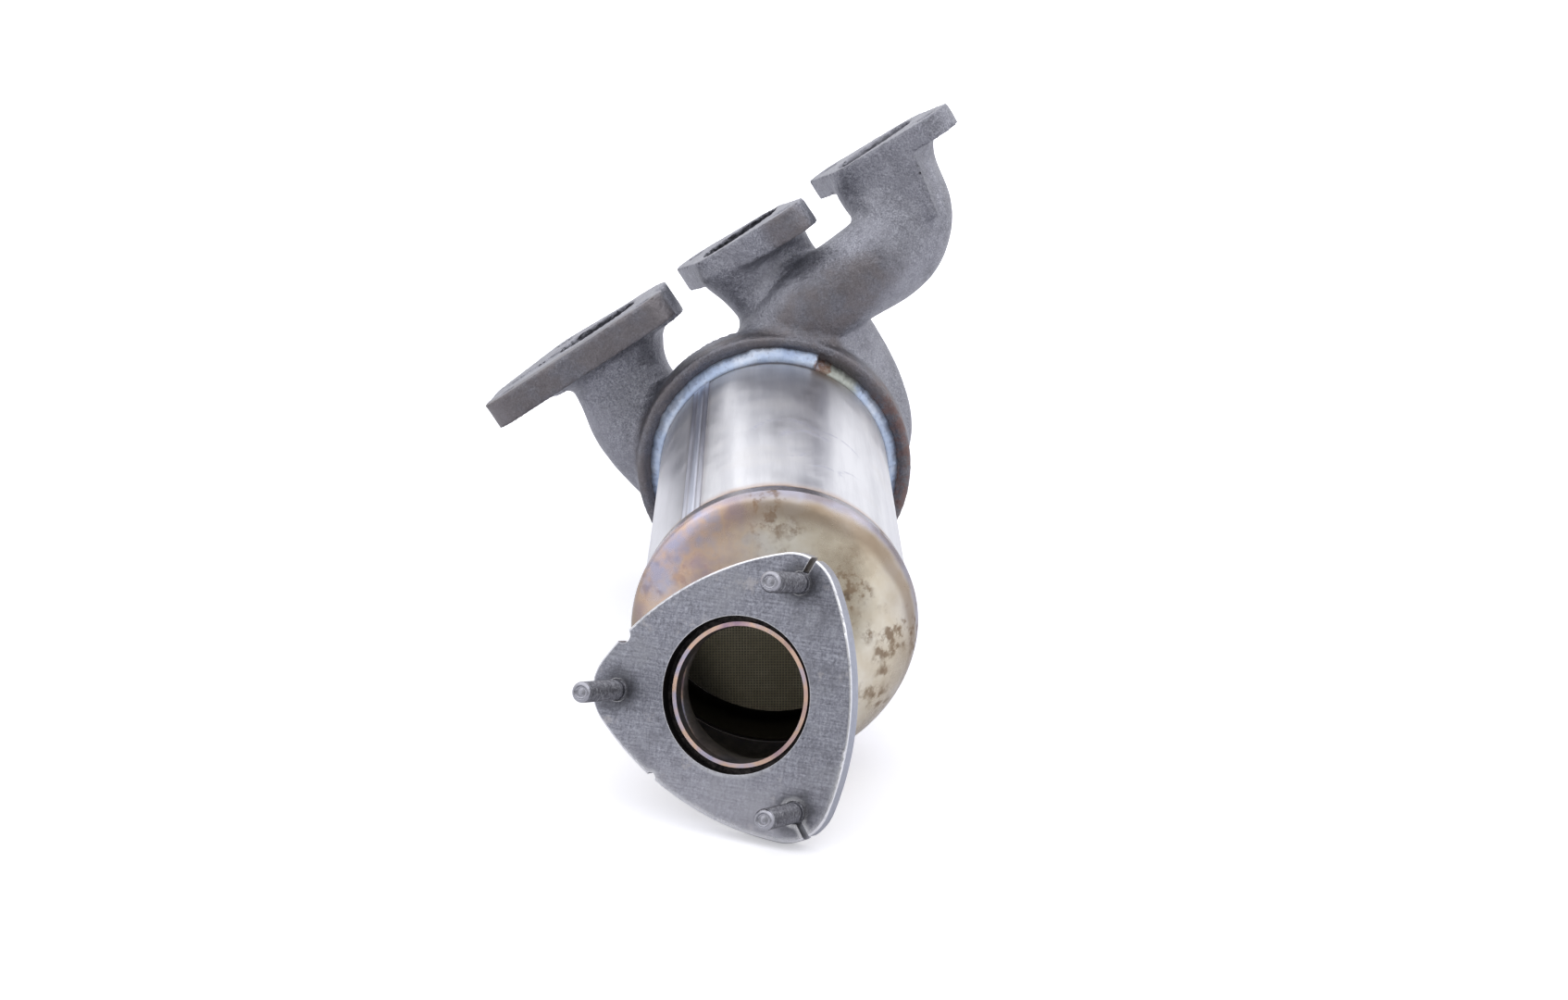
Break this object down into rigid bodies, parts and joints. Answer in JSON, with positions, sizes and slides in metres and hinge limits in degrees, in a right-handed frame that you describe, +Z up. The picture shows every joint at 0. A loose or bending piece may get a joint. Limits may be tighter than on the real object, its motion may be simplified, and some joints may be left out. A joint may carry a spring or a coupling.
{
  "type": "catalytic converter",
  "caption": "Manifold catalytic converter: cast inlet manifold with separate port flanges welded to a round can, domed outlet shell, leaning pipe stub and lobed stud flange.",
  "frame": {"origin": "middle of the bounding box footprint, on the ground the part lies on", "axes": "+Y along the can from the outlet towards the inlet, +Z up as the part lies on its side with outlet flange lobe and collar on the ground, +X to the right seen from the outlet end"},
  "size_m": [0.2228, 0.37, 0.2361],
  "materials": {
    "cast_iron": "rough sand cast",
    "can_steel": "bright rolled",
    "weld_strip": "heat tinted",
    "ceramic": "matt honeycomb",
    "fibre_mat": "matt fibre",
    "shell_steel": "straw heat tint",
    "tinted_weld": "brown heat tint",
    "bead_steel": "rippled bead",
    "flange_steel": "blanked plate, dull",
    "neck_weld": "dark bead",
    "stud_steel": "dark threaded"
  },
  "bodies": {
    "root": {"Inlet_Manifold": "cast_iron", "Can_Shell": "can_steel", "Can_Seam_Weld": "weld_strip", "Ceramic_Monolith": "ceramic", "Support_Mat": "fibre_mat", "Outlet_Shell": "shell_steel", "Outlet_Seam_Weld": "tinted_weld", "Inlet_Weld": "bead_steel", "Outlet_Flange": "flange_steel", "Flange_Weld": "neck_weld", "Stud_Upper": "stud_steel", "Stud_Left": "stud_steel", "Stud_Lower": "stud_steel"}
  },
  "joints": []
}
